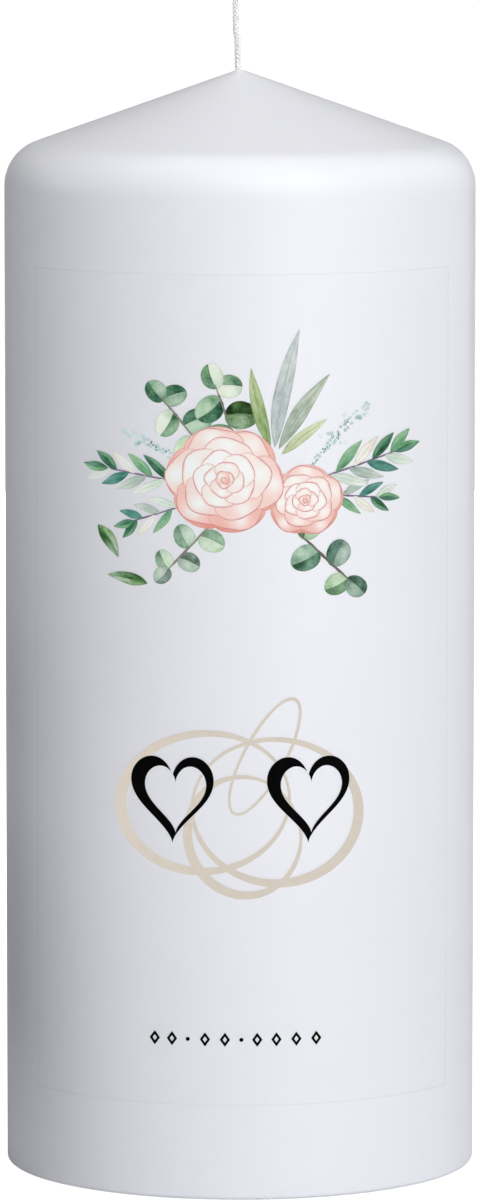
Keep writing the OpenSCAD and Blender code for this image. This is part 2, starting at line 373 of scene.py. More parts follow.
def line(node_name, pts, colour, w, ends=(0.25, 0.25), mot=0.3, closed=False, smooth=True, wobble=0.12):
    """A pen or brush line of width w along the points; ends are its widths at the two ends as shares of w."""
    c = spline(pts, 0.14, closed=False) if smooth else np.asarray([p[:2] for p in pts], float)
    if len(c) < 3:
        c = np.array([c[0], (c[0] + c[-1]) / 2, c[-1]])
    d = np.gradient(c, axis=0)
    d /= np.maximum(np.linalg.norm(d, axis=1), 1e-9)[:, None]
    nrm = np.stack([-d[:, 1], d[:, 0]], 1)
    t = np.linspace(0, 1, len(c))
    swell = np.sin(np.pi * t) ** 0.7
    e = ends[0] * (1 - t) + ends[1] * t
    ph = rng.random() * 6
    half = w / 2 * (e + (1 - e) * swell) * (1 + wobble * np.sin(t * len(c) * 0.5 + ph))
    poly = np.concatenate([c + nrm * half[:, None], (c - nrm * half[:, None])[::-1]])
    fill(node_name, poly, colour, mot=mot, is_curve=True)


def blend(a, b, t):
    """A colour part of the way from a to b, as hex."""
    pa, pb = (([int(h[i:i + 2], 16) for i in (1, 3, 5)]) for h in (a, b))
    return "#" + "".join(f"{round(x + (y - x) * t):02x}" for x, y in zip(pa, pb))


def leaf(node_name, base, mid, tip, w, c0, c1, pos=0.45, q=0.9, washes=(), rim=(0.10, None, 0.5), side=None, vein=None, mot=0.6, blunt=0.0):
    """A leaf whose midrib runs base, mid, tip. side = ("L" or "R", colour, colour at tip, how far across) tints one half."""
    B, M_, T = (np.array(p[:2], float) for p in (base, mid, tip))
    C = 2 * M_ - (B + T) / 2
    n = max(10, int(np.linalg.norm(T - B) / 0.2))
    t = np.linspace(0, 1, n + 1)
    mid_line = ((1 - t) ** 2)[:, None] * B + (2 * t * (1 - t))[:, None] * C + (t**2)[:, None] * T
    d = np.gradient(mid_line, axis=0)
    d /= np.linalg.norm(d, axis=1)[:, None]
    nrm = np.stack([-d[:, 1], d[:, 0]], 1)
    k = math.log(0.5) / math.log(pos)
    prof = np.sin(np.pi * np.clip(t, 0, 1) ** k)
    prof = np.clip(prof, 0, 1) ** q
    if blunt:
        prof = np.maximum(prof, np.where(t > 0.5, np.sqrt(np.clip(1 - ((t - (1 - blunt)) / blunt).clip(0, 1) ** 2, 0, 1)) * np.interp(t, [0.5, 1 - blunt, 1], [0, 1, 1]), 0) * 0.92)
    ph, wob = rng.random() * 6, 0.05
    hl = w / 2 * prof * (1 + wob * np.sin(t * 9 + ph))
    hr = w / 2 * prof * (1 + wob * np.sin(t * 8 + ph + 2))
    poly = np.concatenate([mid_line + nrm * hl[:, None], (mid_line - nrm * hr[:, None])[::-1][1:-1]])
    dark = c0 if rim and rim[1] is None else None
    ws = [("lin", tuple(B + 0.25 * (T - B)), tuple(B + 0.9 * (T - B)), c1, 1.0)] + list(washes)
    if rim and rim[1] is None:
        rim = (rim[0], "darker", rim[2])
    fl = (tuple(B), tuple(T))
    fill(node_name, poly, c0, ws, rim, mot, flow=fl, is_curve=True)
    if side:
        s = 1 if side[0] == "L" else -1
        hh = (hl if s > 0 else hr) * 0.985
        inner = side[3] if len(side) > 3 else 0.0
        edge_in = mid_line + nrm * (s * hh * inner * np.sin(np.pi * t))[:, None]
        edge_out = mid_line + nrm * (s * hh)[:, None]
        a, b = 1, len(t) - 1
        poly2 = np.concatenate([edge_in[a:b], edge_out[a:b][::-1]])
        fill(node_name, poly2, side[1], [("lin", tuple(B + 0.25 * (T - B)), tuple(B + 0.9 * (T - B)), side[2], 1.0)], rim, mot, flow=fl, is_curve=True)
    if vein:
        line(node_name, [tuple(p) for p in mid_line[1:-2:3]], blend(vein[0], c0, 0.45), vein[1], ends=(0.6, 0.1))


def inside(poly, pts):
    """Even-odd test of many points against one closed outline."""
    x, y = pts[:, 0], pts[:, 1]
    res = np.zeros(len(pts), bool)
    a, b = poly, np.roll(poly, -1, axis=0)
    for (x0, y0), (x1, y1) in zip(a, b):
        if y0 == y1:
            continue
        m = (y0 > y) != (y1 > y)
        if m.any():
            xi = (x1 - x0) * (y[m] - y0) / (y1 - y0) + x0
            res[m] ^= x[m] < xi
    return res


def covers(shape, pts):
    m = inside(shape["curve"], pts)
    if shape["hole"] is not None:
        m &= ~inside(shape["hole"], pts)
    return m


def rim_distance(poly, pts):
    a, b = poly, np.roll(poly, -1, axis=0)
    d = b - a
    l2 = np.maximum((d**2).sum(1), 1e-12)
    best = np.full(len(pts), 1e9)
    for s in range(0, len(pts), 400):
        p = pts[s:s + 400][:, None, :]
        t = np.clip(((p - a) * d).sum(2) / l2, 0, 1)
        q = a + t[..., None] * d
        best[s:s + 400] = np.sqrt(((p - q) ** 2).sum(2)).min(1)
    return best


def smooth01(t):
    t = np.clip(t, 0, 1)
    return t * t * (3 - 2 * t)


def paint(shape, pts, dist):
    """The shape's colour, linear, at each point, with painted light: brightened where the lamps leave the film in
    shade.
    """
    c = np.repeat(shape["base"][None, :], len(pts), 0).copy()
    for w in shape["washes"]:
        if w[0] == "dab":
            r = np.linalg.norm(pts - np.array(w[1][:2]), axis=1) / w[2]
            k = np.exp(-(r**2) * 1.3) * w[4]
        else:
            p0, p1 = np.array(w[1][:2]), np.array(w[2][:2])
            d = p1 - p0
            k = smooth01(((pts - p0) @ d) / (d @ d)) * w[4]
        c = c * (1 - k[:, None]) + hexlin(w[3]) * k[:, None]
    if shape["rim"]:
        wd, col, s = shape["rim"]
        k = smooth01(1 - dist / wd) * s
        tgt = c * 0.62 if col == "darker" else np.repeat(hexlin(col)[None, :], len(pts), 0)
        c = c * (1 - k[:, None]) + tgt * k[:, None]
    # painted light: the colour is divided by the lamps' fall-off, so the print is brightened towards the left edge
    # where the pillar is in shade
    c = c / painted_light_divisor(pts[:, 0])[:, None] ** shape["comp"]
    return np.clip(c, 0.002, 0.95)


def tidy(V, F, least=0.004):
    """Draws the ends of every very short edge together, so that no sliver stays in the mesh."""
    to = list(range(len(V)))

    def end(i):
        while to[i] != i:
            i = to[i]
        return i

    for a, b in ((0, 1), (1, 2), (2, 0)):
        d = np.linalg.norm(V[F[:, a]] - V[F[:, b]], axis=1)
        for i, j in F[d < least][:, [a, b]]:
            i, j = end(int(i)), end(int(j))
            if i != j:
                to[max(i, j)] = min(i, j)
    F = np.array([end(int(i)) for i in F.ravel()]).reshape(F.shape)
    return F[(F[:, 0] != F[:, 1]) & (F[:, 1] != F[:, 2]) & (F[:, 2] != F[:, 0])]


def build_prints(spacing=0.30):
    verts, edges, span = [], [], []
    for s in SHAPES:
        c = s["curve"]
        keep = [0]
        for i in range(1, len(c)):
            if np.linalg.norm(c[i] - c[keep[-1]]) > 0.02:
                keep.append(i)
        if np.linalg.norm(c[keep[-1]] - c[0]) < 0.02:
            keep.pop()
        c = s["curve"] = c[keep]
        o = len(verts)
        verts += [Vector((float(x), float(z))) for x, z in c]
        edges += [(o + i, o + (i + 1) % len(c)) for i in range(len(c))]
        s["lo"], s["hi"] = c.min(0), c.max(0)
        if s["hole"] is not None:
            o = len(verts)
            verts += [Vector((float(x), float(z))) for x, z in s["hole"]]
            edges += [(o + i, o + (i + 1) % len(s["hole"])) for i in range(len(s["hole"]))]
    # filling points, on a triangular grid, away from the outlines
    from mathutils.kdtree import KDTree
    kd = KDTree(len(verts))
    for i, v in enumerate(verts):
        kd.insert((v.x, v.y, 0), i)
    kd.balance()
    lo = np.min([s["lo"] for s in SHAPES], 0)
    hi = np.max([s["hi"] for s in SHAPES], 0)
    gx = np.arange(lo[0], hi[0], spacing)
    gz = np.arange(lo[1], hi[1], spacing * 0.866)
    grid = np.array([(x + (spacing / 2 if j % 2 else 0), z) for j, z in enumerate(gz) for x in gx])
    hit = np.zeros(len(grid), bool)
    for s in SHAPES:
        m = ((grid > s["lo"]) & (grid < s["hi"])).all(1) & ~hit
        idx = np.where(m)[0]
        if len(idx):
            hit[idx] |= covers(s, grid[idx])
    for x, z in grid[hit]:
        if kd.find((x, z, 0))[2] > spacing * 0.38:
            verts.append(Vector((float(x), float(z))))
    vo, eo, fo, *_ = delaunay_2d_cdt(verts, edges, [], 0, 1e-6, False)
    V = np.array([(v.x, v.y) for v in vo])
    F = tidy(V, np.array([f for f in fo if len(f) == 3]))
    cen = V[F].mean(1)
    owner = np.full(len(F), -1)
    for i in range(len(SHAPES) - 1, -1, -1):
        s = SHAPES[i]
        idx = np.where((owner < 0) & (cen > s["lo"]).all(1) & (cen < s["hi"]).all(1))[0]
        if len(idx):
            owner[idx[covers(s, cen[idx])]] = i
    made = {}
    for name in dict.fromkeys(s["node"] for s in SHAPES):
        sel = np.array([o >= 0 and SHAPES[o]["node"] == name for o in owner])
        if sel.any():
            made[name] = ink_skin(name, V, F[sel], owner[sel])
    return made


def ink_skin(name, V, F, owner):
    """A closed skin: the triangles as a top face, the same below, and a wall round every free edge."""
    # a vertex where two patches only touch by a corner is split, so that every edge of the wall has two faces
    F = F.copy()
    P = [tuple(v) for v in V]
    around = {}
    for fi, f in enumerate(F):
        for v in f:
            around.setdefault(int(v), []).append(fi)
    for v, fs in around.items():
        left, groups = set(fs), []
        while left:
            stack = [left.pop()]
            grp = set(stack)
            while stack:
                a = stack.pop()
                na = set(int(k) for k in F[a]) - {v}
                for b in list(left):
                    if na & (set(int(k) for k in F[b]) - {v}):
                        left.discard(b)
                        grp.add(b)
                        stack.append(b)
            groups.append(grp)
        for grp in groups[1:]:
            to = np.mean([P[int(w)] for fi in grp for w in F[fi] if w != v], axis=0) - P[v]
            P.append(tuple(np.array(P[v]) + to * 0.003 / max(np.linalg.norm(to), 0.003)))
            for fi in grp:
                F[fi][list(F[fi]).index(v)] = len(P) - 1
    used = sorted({int(v) for f in F for v in f})
    new = {v: i for i, v in enumerate(used)}
    pts = np.array([P[v] for v in used])
    tri = np.array([[new[int(v)] for v in f] for f in F])
    a, b, c = pts[tri[:, 0]], pts[tri[:, 1]], pts[tri[:, 2]]
    if ((b[:, 0] - a[:, 0]) * (c[:, 1] - a[:, 1]) - (c[:, 0] - a[:, 0]) * (b[:, 1] - a[:, 1])).sum() < 0:
        tri = tri[:, ::-1]
    n = len(pts)

    def on(radius):
        x = pts[:, 0] * radius / BODY_R
        y = -np.sqrt(np.maximum(BODY_R**2 - pts[:, 0] ** 2, 0)) * radius / BODY_R
        return np.stack([x, y, pts[:, 1]], 1) * MM

    co = np.concatenate([on(INK_TOP), on(INK_LOW)])
    faces = [tuple(t) for t in tri] + [tuple(int(v) + n for v in t[::-1]) for t in tri]
    count = {}
    for t in tri:
        for i in range(3):
            e = (int(t[i]), int(t[(i + 1) % 3]))
            count[e] = count.get(e, 0) + 1
    walls, wall_owner = [], []
    own = {}
    for k, t in enumerate(tri):
        for i in range(3):
            own[(int(t[i]), int(t[(i + 1) % 3]))] = owner[k]
    for (i, j) in count:
        if (j, i) not in count:
            walls.append((j, i, i + n, j + n))
            wall_owner.append(own[(i, j)])
    me = bpy.data.meshes.new(name)
    me.from_pydata([tuple(p) for p in co], [], faces + walls)
    me.update()
    flat = np.concatenate([pts, pts])
    loop_v = np.empty(len(me.loops), np.int32)
    me.loops.foreach_get("vertex_index", loop_v)
    face_owner = np.concatenate([owner, owner, np.array(wall_owner, int)])
    totals = np.empty(len(me.polygons), np.int32)
    me.polygons.foreach_get("loop_total", totals)
    loop_owner = np.repeat(face_owner, totals)
    ink = np.ones((len(loop_v), 4), np.float32)
    wash = np.zeros((len(loop_v), 2), np.float32)
    flow = np.zeros((len(loop_v), 2), np.float32)
    for s_i in np.unique(loop_owner):
        s = SHAPES[s_i]
        m = loop_owner == s_i
        vs = loop_v[m]
        u, inv = np.unique(vs, return_inverse=True)
        p = flat[u]
        dist = rim_distance(s["curve"], p)
        ink[m, :3] = paint(s, p, dist)[inv]
        wash[m, 0] = dist[inv]
        wash[m, 1] = s["mot"]
        if s["flow"]:
            p0, p1 = np.array(s["flow"][0]), np.array(s["flow"][1])
            d = (p1 - p0) / max(np.linalg.norm(p1 - p0), 1e-6)
            q = p - p0
            flow[m, 0] = (q @ d)[inv] + s["seed"]
            flow[m, 1] = (q @ np.array([-d[1], d[0]]))[inv] * 3.2
        else:
            flow[m, 0] = p[inv, 0] + s["seed"]
            flow[m, 1] = p[inv, 1]
    att = me.color_attributes.new("ink", "FLOAT_COLOR", "CORNER")
    att.data.foreach_set("color", ink.ravel())
    for nm, arr in (("wash", wash), ("flow", flow)):
        uv = me.uv_layers.new(name=nm)
        uv.data.foreach_set("uv", arr.ravel())
    me.validate()
    ob = bpy.data.objects.new(name, me)
    scene.collection.objects.link(ob)
    return ob


def ink_material(name, granules=1.0, rough=0.42, shine=0.15):
    m, nt, out = new_material(name)
    bsdf = node(nt, "ShaderNodeBsdfPrincipled", Roughness=rough)
    bsdf.inputs["Specular IOR Level"].default_value = shine
    col = node(nt, "ShaderNodeAttribute", attribute_name="ink", attribute_type="GEOMETRY")
    wash = node(nt, "ShaderNodeUVMap", uv_map="wash")
    flow = node(nt, "ShaderNodeUVMap", uv_map="flow")
    sep = node(nt, "ShaderNodeSeparateXYZ")
    nt.links.new(wash.outputs[0], sep.inputs[0])
    # slow pools of pigment, along the leaf
    pools = node(nt, "ShaderNodeTexNoise", Scale=0.55, Detail=3.0, Roughness=0.6)
    nt.links.new(flow.outputs[0], pools.inputs["Vector"])
    grain = node(nt, "ShaderNodeTexNoise", Scale=3.4, Detail=3.0, Roughness=0.65)
    nt.links.new(flow.outputs[0], grain.inputs["Vector"])
    k1 = node(nt, "ShaderNodeMapRange")
    k1.inputs["From Min"].default_value, k1.inputs["From Max"].default_value = 0.32, 0.68
    k1.inputs["To Min"].default_value, k1.inputs["To Max"].default_value = -0.5, 0.5
    nt.links.new(pools.outputs["Fac"], k1.inputs["Value"])
    k2 = node(nt, "ShaderNodeMapRange")
    k2.inputs["From Min"].default_value, k2.inputs["From Max"].default_value = 0.3, 0.7
    k2.inputs["To Min"].default_value, k2.inputs["To Max"].default_value = -0.22 * granules, 0.22 * granules
    nt.links.new(grain.outputs["Fac"], k2.inputs["Value"])
    add = node(nt, "ShaderNodeMath", operation="ADD")
    nt.links.new(k1.outputs[0], add.inputs[0])
    nt.links.new(k2.outputs[0], add.inputs[1])
    amt = node(nt, "ShaderNodeMath", operation="MULTIPLY")
    nt.links.new(add.outputs[0], amt.inputs[0])
    nt.links.new(sep.outputs["Y"], amt.inputs[1])
    # positive amount lets more white through, negative gathers pigment
    gain = node(nt, "ShaderNodeMath", operation="ADD")
    gain.inputs[1].default_value = 1.0
    nt.links.new(amt.outputs[0], gain.inputs[0])
    gamma = node(nt, "ShaderNodeMath", operation="DIVIDE")
    gamma.inputs[0].default_value = 1.0
    nt.links.new(gain.outputs[0], gamma.inputs[1])
    g = node(nt, "ShaderNodeGamma")
    nt.links.new(col.outputs["Color"], g.inputs["Color"])
    nt.links.new(gamma.outputs[0], g.inputs["Gamma"])
    # pigment dries in a thin darker line at the edge of a wash
    rim = node(nt, "ShaderNodeMapRange", interpolation_type="SMOOTHSTEP")
    rim.inputs["From Min"].default_value, rim.inputs["From Max"].default_value = 0.015, 0.10
    rim.inputs["To Min"].default_value, rim.inputs["To Max"].default_value = 0.16, 0.0
    nt.links.new(sep.outputs["X"], rim.inputs["Value"])
    rim_amt = node(nt, "ShaderNodeMath", operation="MULTIPLY")
    nt.links.new(rim.outputs[0], rim_amt.inputs[0])
    nt.links.new(sep.outputs["Y"], rim_amt.inputs[1])
    dark = node(nt, "ShaderNodeMix", data_type="RGBA", blend_type="MULTIPLY")
    dark.inputs["B"].default_value = (0.35, 0.35, 0.35, 1)
    nt.links.new(rim_amt.outputs[0], dark.inputs["Factor"])
    nt.links.new(g.outputs[0], dark.inputs["A"])
    nt.links.new(dark.outputs["Result"], bsdf.inputs["Base Color"])
    bump = node(nt, "ShaderNodeBump", Strength=0.10, Distance=0.00002)
    nt.links.new(grain.outputs["Fac"], bump.inputs["Height"])
    nt.links.new(bump.outputs[0], bsdf.inputs["Normal"])
    nt.links.new(bsdf.outputs[0], out.inputs[0])
    return m

# ------------------------------------------------------------------ the artwork itself, back to front, in mm
ROSE_L, ROSE_S, EUC_T, TALL = "over_print_rose_large", "over_print_rose_small", "over_print_eucalyptus_top", "over_print_tall_leaves"
BR_L, BR_R, EUC_L, EUC_R = "over_print_olive_branch_left", "over_print_olive_branch_right", "over_print_eucalyptus_lower_left", "over_print_eucalyptus_lower_right"
SPK_L, SPK_R, LOOSE = "over_print_flower_spike_left", "over_print_flower_spike_right", "over_print_loose_leaves"
RINGS, HEART_L, HEART_R, ROW = "over_print_flourish", "over_print_heart_left", "over_print_heart_right", "over_print_ornament_row"


def D(p, r, h, s=0.9):
    return ("dab", p, r * 1.15, h, s)


def G(p, q, h, s=1.0):
    return ("lin", p, q, h, s)


def oval_pts(c, rx, ry, turn=0.0, n=24, wob=0.0):
    ph, t0 = rng.random() * 6, math.radians(turn)
    out = []
    for i in range(n):
        a = 2 * math.pi * i / n
        k = 1 + wob * math.sin(3 * a + ph)
        x, y = rx * k * math.cos(a), ry * k * math.sin(a)
        out.append((c[0] + x * math.cos(t0) - y * math.sin(t0), c[1] + x * math.sin(t0) + y * math.cos(t0)))
    return out


# small flower spikes: clusters of buds along a curve, some open as rings, some solid
def spike(nd, axis, darks, pales, faint):
    for p in faint:
        for _ in range(3):
            q = (p[0] + rng.uniform(-.42, .42), p[1] + rng.uniform(-.36, .36))
            line(nd, oval_pts(q, rng.uniform(.18, .26), rng.uniform(.14, .2), rng.uniform(0, 180), 9), "#d3e2e2", .09, ends=(1, 1))
    c = spline(axis, 0.5, closed=False)
    d = np.gradient(c, axis=0)
    d /= np.linalg.norm(d, axis=1)[:, None]
    for i, p in enumerate(c):
        t = i / (len(c) - 1)
        near = min(np.linalg.norm(p - np.array(k[:2])) for k in darks)
        wide = .52 * (1 - .58 * t) * min(1, .45 + 4 * t)
        for s in (-1, 1):
            if rng.random() < .14:
                continue
            off = s * wide * rng.uniform(.45, 1.1)
            q = (p[0] - d[i][1] * off + rng.gauss(0, .07), p[1] + d[i][0] * off + rng.gauss(0, .07))
            r = rng.uniform(.18, .26) * (1 - .2 * t)
            body = rng.choice(["#e0e9eb", "#d6e3e5", "#cfdfe0"])
            edge = rng.choice(["#b6d0d0", "#a3c4c3", "#c2d7d8"]) if near > 1.0 and t < .45 else rng.choice(["#7fa9a4", "#8fb5b1", "#a0c0bd"])
            turn = rng.uniform(0, 180)
            fill(nd, oval_pts(q, r * .8, r * .55, turn, 9), body, mot=.3, is_curve=True)
            line(nd, oval_pts(q, r, r * .72, turn, 9), edge, .085, ends=(1, 1))
    for p in darks:
        for _ in range(4):
            q = (p[0] + rng.gauss(0, .27), p[1] + rng.gauss(0, .27))
            r = rng.uniform(.11, .18)
            fill(nd, oval_pts(q, r, r * .6, rng.uniform(20, 80), 10), rng.choice(["#55897f", "#64968e", "#4a7d74"]), mot=0.4, is_curve=True)
    for p in pales:
        for _ in range(3):
            q = (p[0] + rng.gauss(0, .2), p[1] + rng.gauss(0, .2))
            line(nd, oval_pts(q, .22, .17, rng.uniform(0, 180), 9), "#7fa8a4", .09, ends=(1, 1))



# ------------------------------------------------------------------ the spray: a generic bunch, laid out on the CAD's own lines
def pt(p):
    return np.array(p, float)


def round_leaf(nd, c, rx, ry, turn, side, pale, dark):
    a = math.radians(turn)
    u, v = np.array([math.cos(a), math.sin(a)]), np.array([-math.sin(a), math.cos(a)]) * side
    t = np.linspace(0, 2 * np.pi, 40, endpoint=False)
    ph = rng.random() * 6
    k = 1 + 0.03 * np.sin(3 * t + ph)
    edge = c + (rx * k * np.cos(t))[:, None] * u + (ry * k * np.sin(t))[:, None] * v
    fill(nd, edge, pale, [D(c - u * rx * .7, ry * .8, blend(pale, dark, .5), .7), D(c + v * -ry * .4, ry * .6, blend(pale, "#f2f6ea", .5), .6)], (.12, "darker", .5), .8, is_curve=True)
    h = t[:20]
    bow = np.stack([np.linspace(-.97, .97, 14) * rx, .12 * ry * np.sin(np.linspace(0, np.pi, 14))], 1)
    half = np.concatenate([c + (rx * .985 * np.cos(h))[:, None] * u + (ry * .985 * np.sin(h))[:, None] * v, c + bow[:, :1] * u + bow[:, 1:] * v])
    fill(nd, half, dark, [D(c + v * ry * .5 + u * rx * .3, ry * .6, blend(dark, pale, .4), .7), D(c - u * rx * .6 + v * ry * .3, ry * .5, blend(dark, "#12301c", .45), .7)], (.1, "darker", .45), .8, is_curve=True)


def sprig(nd, a, b, n, r, w, tones, stalk="#8a7f78"):
    a, b = pt(a), pt(b)
    d = b - a
    u = d / np.linalg.norm(d)
    v = np.array([-u[1], u[0]])
    line(nd, [tuple(a), tuple(a + d * .5), tuple(b)], stalk, w, ends=(1, .7))
    for i in range(n):
        s = 1 if i % 2 == 0 else -1
        k = r * (1 - .3 * i / n)
        round_leaf(nd, a + d * (i + .6) / n + v * s * k * .95, k * 1.1, k * .92, math.degrees(math.atan2(v[1], v[0])) + 20 * s, s, *tones[i % len(tones)])
    round_leaf(nd, b + u * r * .5, r * .8, r * .68, math.degrees(math.atan2(u[1], u[0])), 1, *tones[-1])
    line(nd, [tuple(a + d * .1), tuple(a + d * .5), tuple(b)], stalk, w * .55, ends=(1, .5))


def branch(nd, a, b, n, l, w, tones, stalk="#7f6a86"):
    a, b = pt(a), pt(b)
    d = b - a
    u = d / np.linalg.norm(d)
    v = np.array([-u[1], u[0]])
    line(nd, [tuple(a), tuple(a + d * .5), tuple(b)], stalk, .26, ends=(1, .6))
    k = 0
    for i in range(n):
        for s in (-1, 1):
            p = a + d * (i + .55 + .16 * s) / n
            q = p + l * (1 - .35 * i / n) * (u * .83 + v * s * .55)
            c0, c1, kind = tones[k % len(tones)]
            k += 1
            mid = (p + q) / 2 + v * s * .12
            leaf(nd, tuple(p), tuple(mid), tuple(q), w, c0, c1, side=("L" if s > 0 else "R", blend(c0, "#8fbf92", .5), blend(c1, "#a9cfa6", .5), .15) if kind else None,
                 vein=None if kind else (blend(c0, "#8aa08e", .5), .1))
    p, q = b - u * .3, b + u * l * .62
    leaf(nd, tuple(p), tuple((p + q) / 2 + v * .1), tuple(q), w, "#4a7862", "#5f8d72", side=("L", "#6aa072", "#86b48a", .2))


GREYS = [("#c9dcc0", "#5f8f6a"), ("#9fc0a0", "#2c5f45"), ("#dfe7d6", "#6f9a76"), ("#8fae93", "#3a6a4e")]
SAGE = [("#c8dbc0", "#86a78b"), ("#b7cdb9", "#7a9d84"), ("#a9bdae", "#74877e")]
TEAL = [("#a9c79f", "#6f9470"), ("#8fb29a", "#55806a"), ("#86a391", "#4f7262")]
OLIVE = [("#2f6048", "#4a7862", 1), ("#cfdccf", "#e3e8de", 0), ("#6a9f78", "#8fb893", 1), ("#a9b9ae", "#c9d3c9", 0), ("#efece2", "#e9e2d3", 0), ("#4c8478", "#5b9083", 0)]

spike(SPK_R, [(18.6, 116.4), (15.6, 113.6), (12.9, 110.7), (10, 107.4)], [(15.7, 113.4), (14.2, 112), (12.2, 110), (10.8, 108.4)], [(17.2, 114.4), (13.2, 112.4)], [(18, 114.6), (15.2, 115), (12, 112), (14.8, 110.6)])
spike(SPK_L, [(-16.8, 112.6), (-14.2, 111.4), (-11.6, 110), (-9, 108.6)], [(-13, 110.6), (-12, 110.2), (-10.6, 109.4)], [(-14.8, 110.6)], [(-15.6, 111), (-13.4, 112.4)])
for (a, b, w, bow) in (((-20.6, 98.6), (-17.6, 94), 1.9, .25), ((-13.4, 90.4), (-19.2, 91.4), 1.8, -.2)):
    a, b = pt(a), pt(b)
    v = np.array([-(b - a)[1], (b - a)[0]]) / np.linalg.norm(b - a)
    leaf(LOOSE, tuple(a), tuple((a + b) / 2 + v * bow), tuple(b), w, "#3a6332", "#7fa07a", side=("L", "#86a877", "#b0bfad", .1), mot=.9, rim=(.12, None, .8))
sprig(EUC_L, (-4.4, 99), (-10.6, 92.4), 4, 1.8, .34, SAGE)
sprig(EUC_R, (7.4, 99), (16, 90.6), 4, 2.2, .4, TEAL, "#6f655e")
sprig(EUC_T, (-5, 110), (-11.4, 117.6), 4, 2.2, .34, GREYS)
sprig(EUC_T, (-.6, 111), (-3.6, 119.6), 4, 2.4, .34, [("#6f9a76", "#2c5a34"), ("#5d8354", "#1f3f15"), ("#9fc0a0", "#316349"), ("#dfe7d6", "#6f9a76")])
branch(BR_L, (-8, 102), (-15.6, 99.4), 3, 4.6, 1.2, OLIVE[1:] + OLIVE[:1])
branch(BR_L, (-9, 105.4), (-19.4, 107), 4, 5.4, 1.4, OLIVE)
branch(BR_R, (13, 103.4), (20.4, 102.6), 3, 4.6, 1.2, OLIVE[2:] + OLIVE[:2])
branch(BR_R, (12, 106), (22.6, 109.2), 4, 6, 1.5, OLIVE[1:] + OLIVE[:1])
for a, b, w, bow, c0, c1 in (((4.4, 110.6), (1.6, 122), 2, .4, "#8fa86f", "#b9c897"), ((5, 110.4), (8.6, 127.6), 2.5, .5, "#b7c1bf", "#ccd2d0"),
                             ((5.6, 110.2), (13, 121), 2.2, .4, "#a6b3a4", "#bec7b4"), ((6, 109.4), (12.6, 114.4), 1.6, .2, "#bfca9f", "#d8e1bd")):
    a, b = pt(a), pt(b)
    v = np.array([-(b - a)[1], (b - a)[0]]) / np.linalg.norm(b - a)
    leaf(TALL, tuple(a), tuple((a + b) / 2 + v * bow), tuple(b), w, c0, c1, vein=(blend(c0, "#6f8470", .5), .12), mot=.7)


def rose(nd, r, c, lobes, turn):
    """An open rose seen from above: rings of round petals, the outer ones first, deeper in colour below and at their roots."""
    t = np.linspace(0, 2 * np.pi, 144, endpoint=False)
    k = np.abs(np.sin(lobes * (t - math.radians(turn)) / 2)) ** .6
    fill(nd, c + (r * (.9 + .1 * k))[:, None] * np.stack([np.cos(t), .92 * np.sin(t)], 1), "#e8b0a5", [D(c + (0, -r * .7), r * .7, "#e09688", .9), D(c + (0, r * .7), r * .6, "#f3d3ca", .9)], (.16, "#d98f86", .6), .3, is_curve=True)
    for ring, (far, count, wide, deep) in enumerate(((.60, lobes, .50, .34), (.43, 5, .44, .31), (.27, 5, .33, .25), (.15, 4, .22, .17), (.05, 3, .13, .10))):
        for j in range(count):
            f = math.radians(turn) + 2 * math.pi * (j + .5 + .37 * ring) / count + rng.uniform(-.08, .08)
            out = np.array([math.cos(f), .92 * math.sin(f)])
            side = np.array([-math.sin(f), .92 * math.cos(f)])
            o = c + out * far * r * rng.uniform(.95, 1.03)
            a = np.linspace(0, 2 * np.pi, 44, endpoint=False)
            ph = rng.random() * 6
            w = 1 + .05 * np.sin(3 * a + ph) + .03 * np.sin(5 * a + ph)
            curve = o + (wide * r * w * np.sin(a))[:, None] * side + (deep * r * w * np.cos(a) * (1 + .12 * np.cos(2 * a)))[:, None] * out
            low = max(0, -math.sin(f))
            base = blend(("#f3d5cc", "#f8e6e0", "#fbf1ed", "#f9e9e3", "#f2d3c8")[ring], "#e9ab9f", low * (.75, .4, .2, .1, .1)[ring])
            root = blend("#e7b3a8", "#dc8f82", low)
            fill(nd, curve, base, [G(o - out * deep * r * .1, o - out * deep * r * 1.05, root, .85), D(o + out * deep * r * .6, deep * r * .5, "#fdf7f4", .75)], (.13, "#dc9c98", .75), .2, is_curve=True)
            lip = curve[list(range(-9, 10))]
            line(nd, [tuple(q) for q in lip[::3]], "#cf8a84", .12, ends=(.2, .2))
    for j in range(3):
        a = np.linspace(0, 2.6, 8) + j * 2.1
        line(nd, [tuple(c + r * (.03 + .025 * j) * np.array([math.cos(q), math.sin(q)])) for q in a], "#cf9088", .14)


lo, hi = (np.array(p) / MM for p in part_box("print_rose_small"))
r2 = 5.6
rose(ROSE_S, r2, np.array([hi[0] - r2 * .995 + .02, (lo[2] + hi[2]) / 2]), 5, 50)
lo, hi = (np.array(p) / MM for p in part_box("print_rose_large"))
rose(ROSE_L, (hi[0] - lo[0]) / 2 + .02, np.array([(lo[0] + hi[0]) / 2, (lo[2] + hi[2]) / 2]), 6, 20)


def ellipse(c, rx, ry, turn, n=140):
    return np.array(oval_pts(c, rx, ry, turn, n))


def heart(c, w, h, n=110):
    out = []
    for i in range(n):
        t = 2 * math.pi * i / n
        out.append((c[0] + w / 2 * math.sin(t) ** 3,
                    c[1] + h / 2 * (13 * math.cos(t) - 5 * math.cos(2 * t) - 2 * math.cos(3 * t) - math.cos(4 * t) + 2.6) / 14.6))
    return np.array(out)


